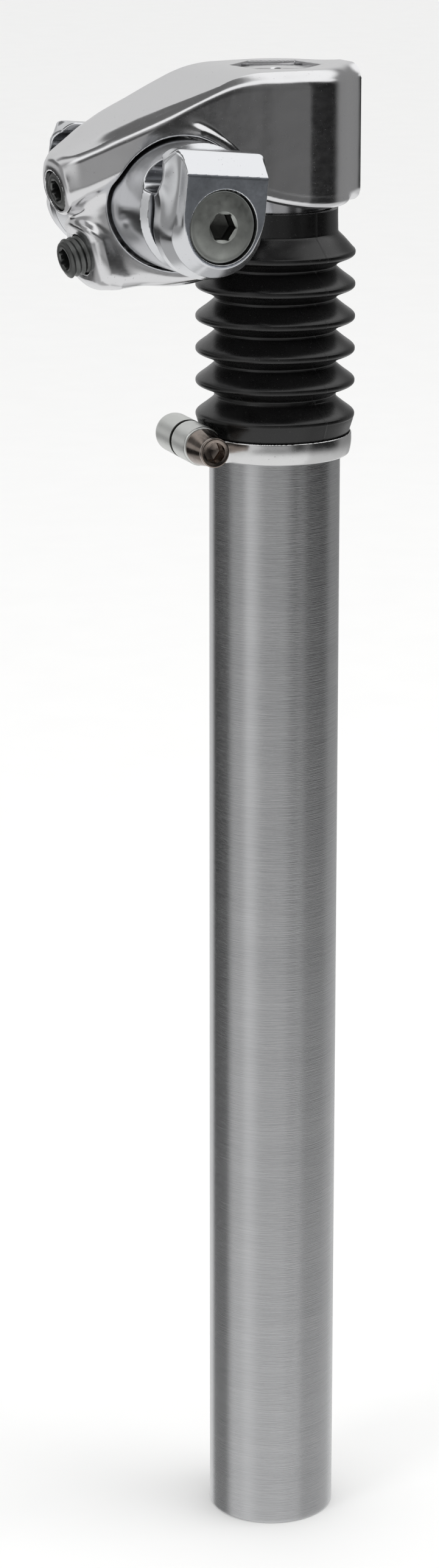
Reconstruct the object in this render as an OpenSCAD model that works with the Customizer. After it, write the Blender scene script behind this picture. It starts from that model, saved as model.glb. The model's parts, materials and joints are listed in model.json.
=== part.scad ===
// Suspension seatpost for a bicycle: a sprung telescopic post with a side-clamping
// saddle head. Origin at the middle of the tube's bottom end, +Z up the post, +X towards
// the front of the bicycle, so that +Y is the rider's left.

/* [Outer tube] */
// Outside diameter of the tube that goes into the frame
tube_d = 27.2; // [26.8:0.2:27.6]
// Length of the outer tube
tube_len = 241; // [200:1:300]
// Wall thickness of the outer tube
tube_wall = 1.4; // [1.2:0.1:1.8]

/* [Suspension] */
// Spring travel
travel = 30; // [15:1:30]
// Outside diameter of the sliding stanchion
stanchion_d = 22.2; // [21.8:0.1:22.4]
// Wire diameter of the main spring
spring_wire = 3.6; // [3:0.1:4]
// Working coils of the main spring
spring_coils = 11; // [8:1:12]
// How far the preload plug can be screwed in
preload_range = 8; // [0:1:8]

/* [Head] */
// Top of the forged head above the tube's bottom end
head_top = 318; // [318:1:330]
// Outside radius of the head around the stanchion
head_r = 15.2; // [14.5:0.1:16]
// How far the tilt axis is set back from the post's axis
setback = 28; // [27:0.5:34]
// Height of the tilt axis
tilt_z = 293; // [292:0.5:294]
// Nose-down angle of the saddle rails from square to the post
clamp_tilt = 6; // [0:1:8]

/* [Saddle clamp] */
// Distance between the saddle rails, centre to centre
rail_gauge = 44; // [43:0.5:46]
// Diameter of a saddle rail
rail_d = 7; // [7:0.1:8]
// How far each outer clamp moves out when the bolt is undone
clamp_travel = 6.8; // [0:0.1:6.8]

/* [Hidden] */
$fn = 64;
eps = 0.01;
fit = 0.05; // radial clearance of a running fit
tube_r = tube_d / 2;
tube_bore_r = tube_r - tube_wall;
stanchion_r = stanchion_d / 2;
stanchion_bore_r = 8;
stanchion_z0 = 157; // bottom of the stanchion at full extension
stanchion_z1 = 311;
head_z0 = 290; // underside of the head around the stanchion

// Bushes and seals
guide_z0 = 200;
guide_top = tube_len + 1.2; // top of the guide bush's flange
bush_z0 = 160;
bush_z1 = 192;
bush_seat_r = 10.2; // turned-down seat of the lower bush
key_w = 3;
key_floor_r = 10.1; // floor of the stanchion's two grooves
key_z = [206, 216];

// Boot: rings of the bellows and its two ends
boot_ring_z = [280.3, 273.65, 267, 260.35, 253.7];
boot_ring_r = 16.5;
boot_valley_r = 12.6;
boot_wall = 1.1;
boot_neck_r = 12.8;
boot_z0 = 241.9;
boot_z1 = 289.2;
boot_lip_z = 246.3;
boot_lip_r = 16.7;

// Pinch collar
collar_z0 = 238.3;
collar_z1 = 243;
collar_seat_r = tube_r - 0.4; // the tube is turned down to this under the collar
collar_r = 15.9;
collar_recess_r = 15.5; // recess in its top for the boot's foot
collar_turn = -6.5; // the collar sits turned a little on the tube
ear_x = -19;
ear_z = 242.2;
ear_r = 4.1;
ear_near_y = -8;
ear_far_y = 11;
collar_screw_r = 2;
collar_screw_y = -15.2;

// Spring stack
seat_top = 30; // spring's lower end
spring_top = 150;
spring_r = 8.6; // radius to the middle of the wire
rod_r = 4;

// Saddle clamp, in its own frame: a along the rails, y across, c up from the tilt axis
bore_r = 13.4;
disc_r = 13;
web_y = 5.2; // half-width of the web between the two clamp bores
disc_y0 = 5.6;
disc_y1 = rail_gauge / 2 - 0.4;
outer_y0 = rail_gauge / 2 + 0.4;
outer_y1 = 31.3;
bolt_c = -2.2; // the clamp bolt lies a little below the tilt axis
rail_c = 6.4; // and the rails above it
rail_r = rail_d / 2;
barrel_r = 9.45;
screw_angle = 12; // the tilt screws point down towards the rear by this much
screw_t = 6.9; // distance of each tilt screw from the tilt axis
screw_r = 4;
flat_s = 5.2; // flat on the barrel that the tilt screws press on

// ---------- shared shapes ----------

// A ring or tube standing on z0
module ring(r_out, r_in, z0, z1) {
    translate([0, 0, z0]) difference() {
        cylinder(r = r_out, h = z1 - z0);
        translate([0, 0, -1]) cylinder(r = r_in, h = z1 - z0 + 2);
    }
}

// A cylinder along +Y from y0 to y1, in whatever frame it is called
module rod_y(r, y0, y1) {
    translate([0, y1, 0]) rotate([90, 0, 0]) cylinder(r = r, h = y1 - y0);
}

// A hexagonal prism along +Z, af across its flats
module hex_z(af, h) {
    cylinder(r = af / 2 / cos(30), h = h, $fn = 6);
}

// Tilt frame: origin on the tilt axis, x along the rails
module at_tilt() {
    translate([-setback, 0, tilt_z]) rotate([0, clamp_tilt, 0]) children();
}

// Bolt frame: the same, with its origin on the clamp bolt
module at_bolt() {
    at_tilt() translate([0, 0, bolt_c]) children();
}

// Screw frame: +Z runs out along a tilt screw, t is its distance above the tilt axis
module at_screw(t) {
    translate([-setback, 0, tilt_z]) rotate([0, -90 - screw_angle, 0])
        translate([t, 0, 0]) children();
}

// ---------- post ----------

module outer_tube() {
    slit_w = 1.2;
    color("darkgray") difference() {
        union() {
            cylinder(r = tube_r, h = collar_z0);
            cylinder(r = collar_seat_r, h = tube_len);
        }
        translate([0, 0, -1]) cylinder(r = tube_bore_r, h = tube_len + 2);
        // slit that lets the collar close the tube on the guide bush
        rotate([0, 0, collar_turn])
            translate([-tube_r - 1, -slit_w / 2, collar_z0 + 0.4]) cube([4, slit_w, 10]);
    }
}

module pinch_collar() {
    gap = 0.9;
    recess_z = 241.7;
    dome = 2.5; // cone on the far ear's end
    color("gainsboro") rotate([0, 0, collar_turn]) difference() {
        union() {
            ring(collar_r, collar_seat_r + 0.02, collar_z0, collar_z1);
            // barrel that the split divides into the two ears
            translate([ear_x, 0, ear_z]) {
                rod_y(ear_r, ear_near_y, ear_far_y - dome);
                translate([0, ear_far_y - dome, 0]) rotate([-90, 0, 0])
                    cylinder(r1 = ear_r, r2 = ear_r - dome, h = dome);
            }
            translate([ear_x, ear_near_y, collar_z0])
                cube([5, ear_far_y - dome - ear_near_y, collar_z1 - collar_z0]);
        }
        translate([0, 0, collar_z0 - 1]) cylinder(r = collar_seat_r + 0.02, h = 10);
        translate([0, 0, recess_z]) cylinder(r = collar_recess_r, h = 10);
        translate([0, 0, collar_z1]) cylinder(r = boot_lip_r + 0.2, h = 10);
        translate([ear_x - 6, -gap / 2, collar_z0 - 1]) cube([10, gap, 12]);
        translate([ear_x, 0, ear_z])
            rod_y(collar_screw_r + fit, ear_near_y - 1, ear_far_y - dome);
    }
}

module collar_screw() {
    head_len = ear_near_y - collar_screw_y;
    color("dimgray") rotate([0, 0, collar_turn]) translate([ear_x, 0, ear_z]) difference() {
        union() {
            translate([0, ear_near_y, 0]) rotate([90, 0, 0])
                cylinder(r1 = 3.9, r2 = 3.1, h = head_len);
            rod_y(collar_screw_r, ear_near_y - eps, ear_far_y - 3);
        }
        translate([0, collar_screw_y - eps, 0]) rotate([-90, 0, 0]) hex_z(4, 3.5);
    }
}

module guide_bush() {
    color("ivory") difference() {
        union() {
            ring(tube_bore_r - 0.02, stanchion_r + fit, guide_z0, tube_len);
            ring(collar_seat_r - 0.1, stanchion_r + fit, tube_len, guide_top);
        }
        // windows for the two keys
        for (side = [-1, 1])
            translate([-key_w / 2 - 0.03, side * 11.5 - 1.5, key_z[0] - 0.03])
                cube([key_w + 0.06, 3, key_z[1] - key_z[0] + 0.06]);
    }
}

module guide_keys() {
    key_r0 = key_floor_r + 0.1;
    key_r1 = tube_bore_r - 0.25;
    color("goldenrod") for (side = [0, 180])
        rotate([0, 0, side]) translate([-key_w / 2, key_r0, key_z[0]])
            cube([key_w, key_r1 - key_r0, key_z[1] - key_z[0]]);
}

module wiper_seal() {
    color("dimgray") ring(tube_r - 0.4, stanchion_r + 0.3, guide_top, guide_top + 2.6);
}

// Half section of the bellows: outside down, inside back up
function ring_points(z, r, dz, wall) = [
    [boot_valley_r - wall, z + dz + 0.6],
    [r - 1.3 - wall, z + 0.9],
    [r - wall, z + 0.2],
    [r - wall, z - 0.6],
    [r - 1.5 - wall, z - 1.4],
    [boot_valley_r - wall, z - dz + 0.2]
];

function boot_side(wall) = [
    for (z = boot_ring_z) for (p = ring_points(z, boot_ring_r, 3.1, wall)) p
];

function reversed(list) = [for (i = [len(list) - 1:-1:0]) list[i]];

module rubber_boot() {
    neck_z = 284.3;
    neck_bore = stanchion_r + 0.1;
    foot_bore = tube_r - 0.3;
    foot_r = collar_recess_r - 0.2;
    outside = concat([[boot_neck_r, boot_z1], [boot_neck_r, neck_z]], boot_side(0),
        [[boot_lip_r - 0.9, boot_lip_z + 0.8], [boot_lip_r, boot_lip_z],
         [foot_r + 0.1, collar_z1 + 0.2], [foot_r, boot_z0]]);
    inside = concat([[foot_bore, boot_z0], [foot_bore, boot_lip_z - 1.2]],
        reversed(boot_side(boot_wall)), [[neck_bore, neck_z - 0.4], [neck_bore, boot_z1]]);
    color([0.09, 0.09, 0.1]) rotate_extrude() polygon(concat(outside, inside));
}

module stanchion() {
    groove_z0 = key_z[0] - 4;
    groove_z1 = key_z[1] + travel + 4;
    groove_w = key_w + 2 * fit;
    color("silver") difference() {
        union() {
            cylinder_span(stanchion_r, bush_z1, stanchion_z1);
            cylinder_span(bush_seat_r, stanchion_z0, bush_z1);
        }
        cylinder_span(stanchion_bore_r, stanchion_z0 - 1, stanchion_z1 + 1);
        // groove for the circlip
        ring(bush_seat_r + 1, bush_seat_r - 0.8, stanchion_z0 + 1, stanchion_z0 + 2.3);
        // two grooves that the keys run in
        for (side = [0, 180])
            rotate([0, 0, side]) translate([-groove_w / 2, key_floor_r, groove_z0])
                cube([groove_w, 3, groove_z1 - groove_z0]);
    }
}

module cylinder_span(r, z0, z1) {
    translate([0, 0, z0]) cylinder(r = r, h = z1 - z0);
}

module lower_bush() {
    color("ivory") ring(tube_bore_r - fit, bush_seat_r, bush_z0, bush_z1);
}

module bush_circlip() {
    gap = 4;
    color("dimgray") difference() {
        ring(bush_seat_r + 1.3, bush_seat_r - 0.7, stanchion_z0 + 1.05, stanchion_z0 + 2.25);
        translate([0, -gap / 2, stanchion_z0]) cube([20, gap, 4]);
    }
}

module top_out_ring() {
    color([0.15, 0.15, 0.16]) ring(tube_bore_r - 0.4, stanchion_r + 0.05, bush_z1, guide_z0 - 0.1);
}

module upper_spring_seat() {
    spigot_r = spring_r - spring_wire / 2 - 0.4;
    color("ivory") difference() {
        union() {
            cylinder_span(10.6, spring_top, stanchion_z0);
            cylinder_span(spigot_r, spring_top - 6, spring_top);
        }
        cylinder_span(rod_r + 0.4, spring_top - 7, stanchion_z0 + 1);
    }
}

// Points around the wire at turn angle a, where h is the height of its middle
function wire_ring(a, h, sides) = [for (i = [0:sides - 1])
    let (b = 360 * i / sides, r = spring_r + spring_wire / 2 * cos(b))
    [r * cos(a), r * sin(a), h + spring_wire / 2 * sin(b)]];

module main_spring() {
    sides = 8;
    steps_per_turn = 20;
    rise = spring_top - seat_top - spring_wire - 0.1;
    turns = spring_coils + 2; // with one closed turn at each end
    n = turns * steps_per_turn;
    // a closed turn climbs one wire diameter, a working turn its share of the rest
    closed = spring_wire * 1.02;
    pitch = (rise - 2 * closed) / spring_coils;
    function height(t) = t < 1 ? t * closed
        : t > turns - 1 ? rise - (turns - t) * closed : closed + (t - 1) * pitch;
    points = [for (k = [0:n])
        each wire_ring(360 * k / steps_per_turn, seat_top + 0.05 + spring_wire / 2
            + height(k / steps_per_turn), sides)];
    tube_faces = [for (k = [0:n - 1]) for (i = [0:sides - 1])
        let (j = (i + 1) % sides, a = k * sides, b = a + sides)
        each [[a + i, b + j, b + i], [a + i, a + j, b + j]]];
    caps = [[for (i = [0:sides - 1]) sides - 1 - i], [for (i = [0:sides - 1]) n * sides + i]];
    color("slategray") polyhedron(points, concat(tube_faces, caps));
}

module lower_spring_seat() {
    color("ivory") ring(11.5, rod_r, 27, seat_top);
}

module bottom_out_bumper() {
    color("goldenrod") ring(5.9, rod_r + 0.2, seat_top, 104);
}

module guide_rod() {
    color("silver") cylinder_span(rod_r, 14, 148);
}

module preload_plug() {
    plug_z0 = 3;
    hex_af = 8;
    color("gray") difference() {
        cylinder_span(tube_bore_r - fit, plug_z0, 27);
        cylinder_span(rod_r, 14, 28);
        translate([0, 0, plug_z0 - 1]) hex_z(hex_af, 9);
    }
}

// ---------- head ----------

// Side outline of the head, x across and z up, with the rear bosses of the tilt screws
module head_side() {
    slope_top = [-14.1, head_top];
    slope_end = [-48.6, head_top - 15.4];
    polygon([[-13, head_z0], [head_r, head_z0], [head_r, head_top], slope_top, slope_end,
        [-setback, tilt_z]]);
    translate([-setback, tilt_z]) {
        circle(r = 16.2);
        rotate(180 + screw_angle) {
            translate([0, -12.2]) square([21, 11.4]);
            polygon([[0, -1], [18.4, -1], [18.4, 13.3], [14, 14.9], [0, 16.1]]);
        }
    }
}

// The arm's half of that outline, above the clamp bore
module arm_side() {
    intersection() {
        head_side();
        polygon([[-55, 299], [-44, 299], [-16, 309.6], [-10, 309.6], [-10, 320], [-55, 320]]);
    }
}

module mirrored_plan(points) {
    polygon(points);
    mirror([0, 1]) polygon(points);
}

module plan_body() {
    circle(r = head_r);
    mirrored_plan([[0, -1], [0, head_r], [-18, 13.7], [-25, 12.9], [-43.5, 6.4], [-52, 5.9], [-52, -1]]);
}

module plan_arm() {
    mirrored_plan([[-5, -1], [-5, 14.6], [-18, 13.5], [-33, 12.5], [-44, 10.8], [-49.5, 6.5], [-52, -1]]);
}

module prism_xz() {
    rotate([90, 0, 0]) translate([0, 0, -25]) linear_extrude(height = 50) children();
}

module head() {
    hex_af = 16;
    hex_depth = 2.2;
    color("gainsboro") difference() {
        union() {
            intersection() {
                prism_xz() head_side();
                translate([0, 0, 250]) linear_extrude(height = 80) plan_body();
            }
            intersection() {
                prism_xz() arm_side();
                translate([0, 0, 250]) linear_extrude(height = 80) plan_arm();
            }
        }
        // socket for the stanchion, and the hexagonal recess over it
        cylinder_span(stanchion_r, head_z0 - 1, stanchion_z1);
        cylinder_span(5, stanchion_z1 - 1, head_top + 1);
        // relief round the boot's neck
        cylinder_span(boot_neck_r + 0.15, boot_z1 - 10, boot_z1 + 0.15);
        rotate([0, 0, -22]) translate([0, 0, head_top - hex_depth]) hex_z(hex_af, 5);
        // bore for the tilt barrel and the two wider bores for the clamp discs
        translate([-setback, 0, tilt_z]) {
            rod_y(barrel_r + fit, -20, 20);
            rod_y(bore_r, web_y, 20);
            rod_y(bore_r, -20, -web_y);
        }
        for (t = [-screw_t, screw_t]) at_screw(t) cylinder_span(screw_r + fit, 0, 30);
    }
}

module crown_plug() {
    color("gainsboro") difference() {
        union() {
            cylinder_span(7.8, head_top - 2.2, head_top - 0.7);
            cylinder_span(5, stanchion_z1 + 0.5, head_top - 2.2);
        }
        cylinder_span(1.5, head_top - 1.7, head_top);
    }
}

module tilt_barrel() {
    end_sq = 11;
    color("slategray") at_tilt() difference() {
        union() {
            rod_y(barrel_r, -web_y, web_y);
            // square ends that turn the clamp discs
            translate([-end_sq / 2, -9, -end_sq / 2]) cube([end_sq, 18, end_sq]);
        }
        translate([0, 0, bolt_c]) rod_y(4.2, -10, 10);
        // flat that the tilt screws press on, square to them at rest
        rotate([0, -clamp_tilt - screw_angle, 0]) translate([-20 - flat_s, -web_y - 1, -15])
            cube([20, 2 * web_y + 2, 30]);
    }
}

// Clamp disc that fills the head's side bore, with its half of the rail groove
module inner_clamp(side) {
    sq = 11.06;
    hole_r = side > 0 ? 5.4 : 4.2; // the left one lets the sleeve nut through
    color("silver") at_tilt() mirror([0, side < 0 ? 1 : 0, 0]) difference() {
        rod_y(disc_r, disc_y0, disc_y1);
        translate([-sq / 2, 0, -sq / 2]) cube([sq, 9.05, sq]);
        translate([0, 0, bolt_c]) rod_y(hole_r, 0, 30);
        translate([-20, rail_gauge / 2, rail_c]) rotate([0, 90, 0]) cylinder(r = rail_r, h = 40);
    }
}

module inner_clamp_right() { inner_clamp(-1); }
module inner_clamp_left() { inner_clamp(1); }

// Slice of the outer clamp at y, 0.2 mm thick: round below, flat on top, hood_w at the top
module clamp_slice(y, r, half_w, hood_w, top) {
    translate([0, y, 0]) rotate([90, 0, 0]) linear_extrude(height = 0.2) {
        circle(r = r, $fn = 32);
        polygon([[-half_w, 0], [half_w, 0], [hood_w, 5.5], [hood_w, top - 1.5],
            [hood_w - 1.5, top], [1.5 - hood_w, top], [-hood_w, top - 1.5], [-hood_w, 5.5]]);
    }
}

module outer_clamp(side) {
    seat_y = 27;
    color("silver") at_bolt() mirror([0, side < 0 ? 1 : 0, 0]) difference() {
        hull() {
            clamp_slice(outer_y0 + 0.2, 11.2, 10.4, 10.6, 14.3);
            clamp_slice(27.5, 10.8, 10.4, 12.2, 14.2);
            clamp_slice(29.5, 10, 10, 12.2, 12.6);
            clamp_slice(outer_y1, 8.8, 8.7, 8.7, 9.9);
        }
        rod_y(7.35, seat_y, 40);
        rod_y(side > 0 ? 5.4 : 4.2, 0, 40);
        translate([-20, rail_gauge / 2, rail_c - bolt_c]) rotate([0, 90, 0])
            cylinder(r = rail_r, h = 40);
    }
}

module outer_clamp_right() { outer_clamp(-1); }
module outer_clamp_left() { outer_clamp(1); }

// Low head with a hexagon socket, standing outwards from y = 27
module bolt_head() {
    difference() {
        rod_y(7.1, 27, 31.1);
        translate([0, 31.2, 0]) rotate([90, 0, 0]) hex_z(5, 3.2);
    }
}

module clamp_bolt() {
    color("gray") at_bolt() mirror([0, 1, 0]) {
        bolt_head();
        rod_y(4, -29, 27);
    }
}

// Sleeve nut in the left clamp, long enough to stay on the bolt when the clamps are open
module clamp_nut() {
    color("gray") at_bolt() difference() {
        union() {
            bolt_head();
            rod_y(5.2, 12, 27);
        }
        rod_y(4.02, 11, 29.5);
    }
}

// Set screw with a coned dog point that presses on the barrel's flat
module tilt_screw(t, end_s) {
    tip_s = flat_s + 0.3;
    cone_h = 1.2;
    body_s = 9.9;
    color("dimgray") at_screw(t) difference() {
        union() {
            cylinder_span(screw_r, body_s, end_s);
            cylinder_span(1.6, tip_s + cone_h, body_s);
            translate([0, 0, tip_s]) cylinder(r1 = 0.4, r2 = 1.6, h = cone_h);
        }
        translate([0, 0, end_s - 3.2]) hex_z(4, 4);
    }
}

module tilt_screw_upper() { tilt_screw(screw_t, 20.6); }
module tilt_screw_lower() { tilt_screw(-screw_t, 21.8); }

// ---------- build ----------

outer_tube();
pinch_collar();
collar_screw();
guide_bush();
guide_keys();
wiper_seal();
rubber_boot();
stanchion();
lower_bush();
bush_circlip();
top_out_ring();
upper_spring_seat();
main_spring();
lower_spring_seat();
bottom_out_bumper();
guide_rod();
preload_plug();
head();
crown_plug();
tilt_barrel();
inner_clamp_right();
inner_clamp_left();
outer_clamp_right();
outer_clamp_left();
clamp_bolt();
clamp_nut();
tilt_screw_upper();
tilt_screw_lower();
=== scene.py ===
"""Looks of a bicycle's suspension seatpost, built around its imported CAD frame.

Shapes are written in millimetres in the frame's own axes (+Z up the post, +X to the front of the
bicycle, +Y to the rider's left) and become metres when a piece is made.
"""

import json
import math

import bpy
import numpy as np
from mathutils import Matrix, Vector


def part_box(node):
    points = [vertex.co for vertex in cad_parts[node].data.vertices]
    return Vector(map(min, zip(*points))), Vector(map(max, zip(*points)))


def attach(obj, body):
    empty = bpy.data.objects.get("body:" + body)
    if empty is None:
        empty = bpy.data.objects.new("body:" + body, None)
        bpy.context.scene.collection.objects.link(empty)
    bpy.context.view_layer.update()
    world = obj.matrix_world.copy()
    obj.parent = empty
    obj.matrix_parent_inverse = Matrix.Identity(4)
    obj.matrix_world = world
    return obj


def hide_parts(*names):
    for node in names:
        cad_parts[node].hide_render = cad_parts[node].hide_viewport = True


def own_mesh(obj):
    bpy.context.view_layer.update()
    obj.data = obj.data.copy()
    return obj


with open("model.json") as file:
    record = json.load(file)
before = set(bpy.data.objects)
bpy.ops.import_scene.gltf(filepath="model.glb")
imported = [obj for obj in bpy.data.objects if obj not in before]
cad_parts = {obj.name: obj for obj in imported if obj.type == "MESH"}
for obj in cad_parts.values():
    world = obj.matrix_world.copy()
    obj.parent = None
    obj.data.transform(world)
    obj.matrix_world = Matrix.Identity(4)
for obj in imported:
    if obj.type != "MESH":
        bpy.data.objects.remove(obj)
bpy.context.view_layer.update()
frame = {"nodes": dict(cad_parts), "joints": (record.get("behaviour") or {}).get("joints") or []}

MM = 0.001
LEFT, RIGHT = 1, -1  # sides of the bicycle, as signs of y


def node_box(node):
    """Lowest and highest corners of a CAD node, in millimetres."""
    low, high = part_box(node)
    return np.array(low) / MM, np.array(high) / MM


# ---------- sizes, in millimetres ----------

TUBE_R = node_box("outer_tube")[1][0]
TUBE_LEN = node_box("outer_tube")[1][2]
TUBE_BORE_R = TUBE_R - 1.4
TUBE_BEVEL = 0.5
COLLAR_SEAT_R = TUBE_R - 0.4  # the tube's top is turned down to this under the collar
COLLAR_LOW, COLLAR_TOP = 238.3, 243.0
COLLAR_SLIT = 0.9
STANCHION_R = node_box("stanchion")[1][0]
HEAD_TOP = node_box("head")[1][2]
HEAD_BOTTOM = 290.0  # underside of the head around the stanchion
HEAD_REAR = node_box("head")[0][0]
HEAD_R = node_box("head")[1][0]

# Tilt axis of the saddle clamp, parallel to Y, and the tilt screws' direction
TILT_JOINT = next(joint for joint in frame["joints"] if joint["name"] == "clamp_tilt")
TILT_X, TILT_Z = np.array(TILT_JOINT["pos_m"])[[0, 2]] / MM
SCREW_ANGLE = math.radians(12)
SCREW_T = 6.9  # distance of each tilt screw from the tilt axis
CLAMP_TILT = math.radians(6)  # nose-down angle of the rails at rest
BOLT_C = -2.2  # height of the clamp bolt over the tilt axis, square to the rails
RAIL_C = 6.4  # height of the rails over the tilt axis
RAIL_Y = 22.0
RAIL_R = 3.5
CLAMP_BORE_R = 13.4
DRUM_R = 13.0  # inner clamps, which turn in the head's side bores
CLAMP_FACE_Y = node_box("outer_clamp_left")[1][1]
BOLT_HOLE_R = {RIGHT: 4.2, LEFT: 5.4}  # the nut's sleeve is thicker than the bolt

COLLAR_TURN = np.array(Matrix.Rotation(math.radians(-6.5), 4, "Z"))  # its slit is a little off the rear
BARREL_X, BARREL_Z, BARREL_R = -19.0, 242.2, 4.1  # the collar's cross barrel
BARREL_NEAR_Y, BARREL_FAR_Y = -8.0, 11.0

BOOT_NECK_R = 12.8
BOOT_WALL = 1.1
RING_Z = (280.3, 273.65, 267.0, 260.35, 253.7, 246.7)  # noses of the bellows' rings
RING_R, VALLEY_R = 16.45, 12.6
VALLEY_DROP = 3.1  # from a ring's nose to the valley under it
BOOT_LOW, BOOT_HIGH = node_box("rubber_boot")[0][2], node_box("rubber_boot")[1][2]
SPRING_LOW, SPRING_HIGH = node_box("main_spring")[0][2], node_box("main_spring")[1][2]


# ---------- mesh tools ----------


def add_mesh(name, vertices, faces, material, smooth=True, normals=None, sharp_deg=None):
    """Makes a piece from vertices in millimetres. Edges bent by over sharp_deg stay sharp."""
    mesh = bpy.data.meshes.new(name)
    mesh.from_pydata((np.asarray(vertices, float) * MM).tolist(), [], [list(f) for f in faces])
    mesh.polygons.foreach_set("use_smooth", [smooth] * len(mesh.polygons))
    mesh.materials.append(material)
    if sharp_deg is not None:
        mesh.set_sharp_from_angle(angle=math.radians(sharp_deg))
    if normals is not None:
        mesh.normals_split_custom_set_from_vertices(np.asarray(normals, float).tolist())
    piece = bpy.data.objects.new(name, mesh)
    bpy.context.scene.collection.objects.link(piece)
    return piece


def place(piece, body, slot, *nodes):
    """Makes the piece ride on a body and stand for CAD nodes. The slot is not used."""
    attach(piece, body)
    if nodes:
        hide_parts(*nodes)
    return piece


def arc(centre, radius, start_deg, end_deg, steps=8):
    """Points on an arc in the (r, z) plane."""
    angles = np.radians(np.linspace(start_deg, end_deg, steps + 1))
    return [(centre[0] + radius * math.cos(a), centre[1] + radius * math.sin(a)) for a in angles]


def curve_through(points, per_span=8):
    """Catmull-Rom curve through the points, ends included."""
    p = np.array([points[0], *points, points[-1]], float)
    out = []
    for i in range(1, len(p) - 2):
        for t in np.linspace(0, 1, per_span, endpoint=False):
            a, b, c, d = p[i - 1 : i + 3]
            square, cube = 2 * a - 5 * b + 4 * c - d, 3 * b - a - 3 * c + d
            out.append((2 * b + (c - a) * t + square * t**2 + cube * t**3) / 2)
    out.append(p[-2])
    return [tuple(q) for q in out]


def lathe(profile, segments=192, shape=None):
    """Vertices and faces of a profile of (r, z) turned about Z. shape(r, z, angle) may return
    changed radii. A profile that starts or ends at r = 0 is closed there."""
    profile = np.array(profile, float)
    angle = np.linspace(0, 2 * np.pi, segments, endpoint=False)
    r = np.repeat(profile[:, :1], segments, 1)
    z = np.repeat(profile[:, 1:], segments, 1)
    if shape is not None:
        r = shape(r, z, angle[None, :])
    grid = np.stack([r * np.cos(angle), r * np.sin(angle), z], -1)
    vertices = grid.reshape(-1, 3)
    faces = []
    for i in range(len(profile) - 1):
        for j in range(segments):
            k = (j + 1) % segments
            faces.append((i * segments + j, i * segments + k, (i + 1) * segments + k, (i + 1) * segments + j))
    return merge_poles(vertices, faces)


def merge_poles(vertices, faces):
    """Joins vertices that share a place and drops the faces that this leaves without area."""
    key = np.round(vertices, 6)
    _, first, back = np.unique(key, axis=0, return_index=True, return_inverse=True)
    back = back.reshape(-1)
    order = np.argsort(first)
    rank = np.empty_like(order)
    rank[order] = np.arange(len(order))
    kept = []
    for face in faces:
        corners = list(dict.fromkeys(int(rank[back[v]]) for v in face))
        if len(corners) > 2:
            kept.append(corners)
    return vertices[first[order]], kept


def socket_shape(bottom, r_limit, turn):
    """Lathe shape that makes a hexagonal socket of what lies inside r_limit and above its bottom."""
    sixth = np.pi / 3

    def shape(r, z, angle):
        from_flat = np.mod(angle - turn + sixth / 2, sixth) - sixth / 2
        return np.where((r < r_limit) & (z > bottom), r / np.cos(from_flat), r)

    return shape


def moved(vertices, matrix):
    """The vertices, moved by a 4 x 4 matrix in millimetres."""
    v = np.asarray(vertices, float)
    m = np.array(matrix)
    return v @ m[:3, :3].T + m[:3, 3]


def frame_matrix(origin, x_axis, y_axis, z_axis):
    """Matrix whose columns are the three axes and the origin."""
    m = np.eye(4)
    m[:3, 0], m[:3, 1], m[:3, 2], m[:3, 3] = x_axis, y_axis, z_axis, origin
    return m


def flipped(faces):
    """The same faces, turned inside out."""
    return [f[::-1] for f in faces]


# ---------- solids as distance fields ----------
# A field takes open grids x, y, z in millimetres and is negative inside the solid.


def round_and(a, b, r):
    """Where both are solid, with the outer edge rounded to radius r."""
    return np.minimum(np.maximum(a, b), -r) + np.hypot(np.maximum(a + r, 0), np.maximum(b + r, 0))


def soft_or(a, b, k):
    """Where either is solid, blended smoothly over the width k."""
    h = np.maximum(k - np.abs(a - b), 0) / k
    return np.minimum(a, b) - h * h * k / 4


def soft_and(a, b, k):
    """Where both are solid, with the edge between them blended over the width k."""
    return -soft_or(-a, -b, k)


def ease(x):
    """0 below 0, 1 above 1, and a smooth rise between them."""
    x = np.clip(x, 0, 1)
    return x * x * (3 - 2 * x)


def cut(a, b, r=0.3):
    """a with b taken away, and the edge between them rounded to radius r."""
    return round_and(a, -b, r)


def plane(u, v, through, normal_deg):
    """Distance over a plane through a point, with its normal at an angle from u towards v."""
    angle = math.radians(normal_deg)
    return (u - through[0]) * math.cos(angle) + (v - through[1]) * math.sin(angle)


def polygon_field(x, y, points):
    """Signed distance to a closed polygon in a plane."""
    points = np.array(points, float)
    best, sign = np.full(np.broadcast(x, y).shape, 1e9), np.ones(np.broadcast(x, y).shape)
    for i in range(len(points)):
        a, b = points[i - 1], points[i]
        ex, ey = b - a
        wx, wy = x - a[0], y - a[1]
        t = np.clip((wx * ex + wy * ey) / (ex * ex + ey * ey), 0, 1)
        best = np.minimum(best, np.hypot(wx - t * ex, wy - t * ey))
        above_a, above_b = y >= a[1], y >= b[1]
        side = ex * wy - ey * wx
        flip = (above_a & ~above_b & (side < 0)) | (~above_a & above_b & (side > 0))
        sign = np.where(flip, -sign, sign)
    return best * sign


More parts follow.
